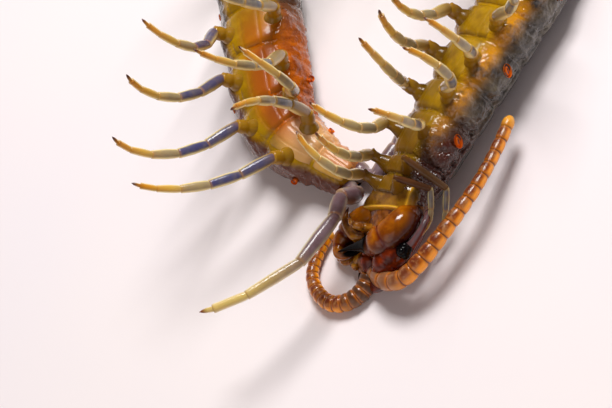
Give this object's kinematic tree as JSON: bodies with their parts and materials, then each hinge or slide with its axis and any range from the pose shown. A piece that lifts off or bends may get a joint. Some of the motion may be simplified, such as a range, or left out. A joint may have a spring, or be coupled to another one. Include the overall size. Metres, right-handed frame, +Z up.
{
  "type": "centipede",
  "caption": "Large centipede lying on its back, body bent in a U on the floor, legs held up in the air, poison claws, eyes and feelers at the head.",
  "frame": {"origin": "on the floor, under the middle of the whole animal's box as it lies", "axes": "+Z up out of the belly, which faces up; the head points roughly to -X and the bend of the U lies towards +X; the camera of the picture stands at -Y"},
  "size_m": [0.0516, 0.048, 0.0178],
  "materials": {
    "trunk cuticle": "glossy olive-yellow to dark brown shell",
    "leg cuticle": "glossy, blue-grey near the body and pale yellow at the ends",
    "head cuticle": "glossy dark red-brown",
    "fang cuticle": "polished amber, black at the tips",
    "mouthpart cuticle": "glossy yellow-brown",
    "eye lens": "glossy black",
    "antenna cuticle": "satin orange-brown"
  },
  "bodies": {
    "root": {"antenna_left": "antenna cuticle", "antenna_right": "antenna cuticle", "coxosternite": "fang cuticle", "eye_left": "eye lens", "eye_right": "eye lens", "forcipule_left": "fang cuticle", "forcipule_right": "fang cuticle", "head": "head cuticle", "leg_left_01": "leg cuticle", "leg_left_02": "leg cuticle", "leg_left_03": "leg cuticle", "leg_left_04": "leg cuticle", "leg_left_05": "leg cuticle", "leg_left_06": "leg cuticle", "leg_left_07": "leg cuticle", "leg_left_08": "leg cuticle", "leg_left_09": "leg cuticle", "leg_left_10": "leg cuticle", "leg_left_11": "leg cuticle", "leg_left_12": "leg cuticle", "leg_left_13": "leg cuticle", "leg_left_14": "leg cuticle", "leg_left_15": "leg cuticle", "leg_left_16": "leg cuticle", "leg_left_17": "leg cuticle", "leg_left_18": "leg cuticle", "leg_left_19": "leg cuticle", "leg_left_20": "leg cuticle", "leg_left_21": "leg cuticle", "leg_right_01": "leg cuticle", "leg_right_02": "leg cuticle", "leg_right_03": "leg cuticle", "leg_right_04": "leg cuticle", "leg_right_05": "leg cuticle", "leg_right_06": "leg cuticle", "leg_right_07": "leg cuticle", "leg_right_08": "leg cuticle", "leg_right_09": "leg cuticle", "leg_right_10": "leg cuticle", "leg_right_11": "leg cuticle", "leg_right_12": "leg cuticle", "leg_right_13": "leg cuticle", "leg_right_14": "leg cuticle", "leg_right_15": "leg cuticle", "leg_right_16": "leg cuticle", "leg_right_17": "leg cuticle", "leg_right_18": "leg cuticle", "leg_right_19": "leg cuticle", "leg_right_20": "leg cuticle", "leg_right_21": "leg cuticle", "maxilla_left": "mouthpart cuticle", "maxilla_right": "mouthpart cuticle", "trunk_1": "trunk cuticle", "trunk_2": "trunk cuticle", "trunk_3": "trunk cuticle", "trunk_4": "trunk cuticle", "trunk_5": "trunk cuticle", "trunk_6": "trunk cuticle", "trunk_7": "trunk cuticle"}
  },
  "joints": []
}
